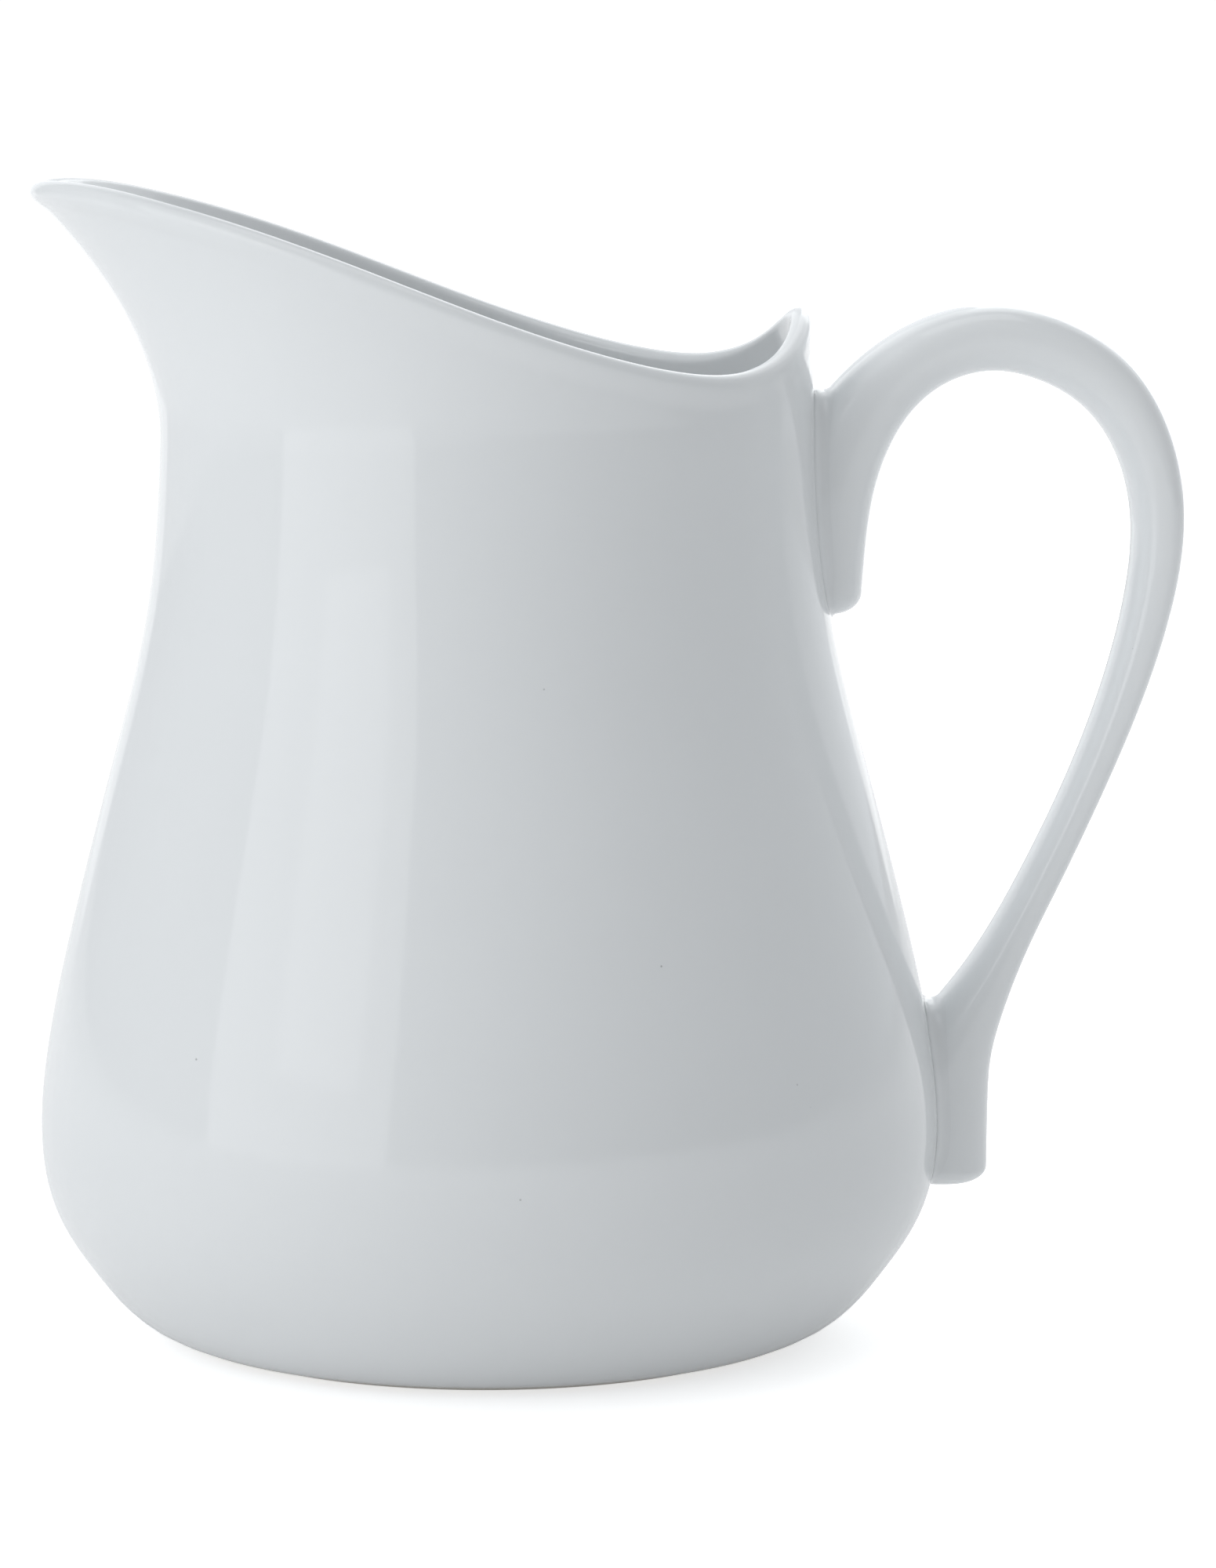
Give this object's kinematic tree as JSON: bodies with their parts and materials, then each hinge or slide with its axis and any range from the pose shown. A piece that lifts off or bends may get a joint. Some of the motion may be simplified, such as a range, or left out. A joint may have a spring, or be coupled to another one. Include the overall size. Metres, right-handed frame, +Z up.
{
  "type": "ceramic pitcher",
  "caption": "White glazed porcelain pitcher with a bellied body, wide flared pouring spout, raised thumb tab at the rim and a slender loop handle.",
  "frame": {"origin": "middle of the whole outline at table height, so half of the length lies on each side; the round body's axis stands 21.3 mm towards the spout", "axes": "+Z up, +X towards the handle and -X towards the spout, +Y to the right of a person who holds the handle and points the spout away"},
  "size_m": [0.1989, 0.1562, 0.1998],
  "materials": {
    "body_glaze": "clear gloss glaze over white porcelain, bare matt foot ring",
    "handle_glaze": "clear gloss glaze over white porcelain",
    "slip_glaze": "glazed slip, slightly pooled gloss"
  },
  "bodies": {
    "root": {"jug_body": "body_glaze", "handle": "handle_glaze", "upper_slip_bead": "slip_glaze", "lower_slip_bead": "slip_glaze"}
  },
  "joints": []
}
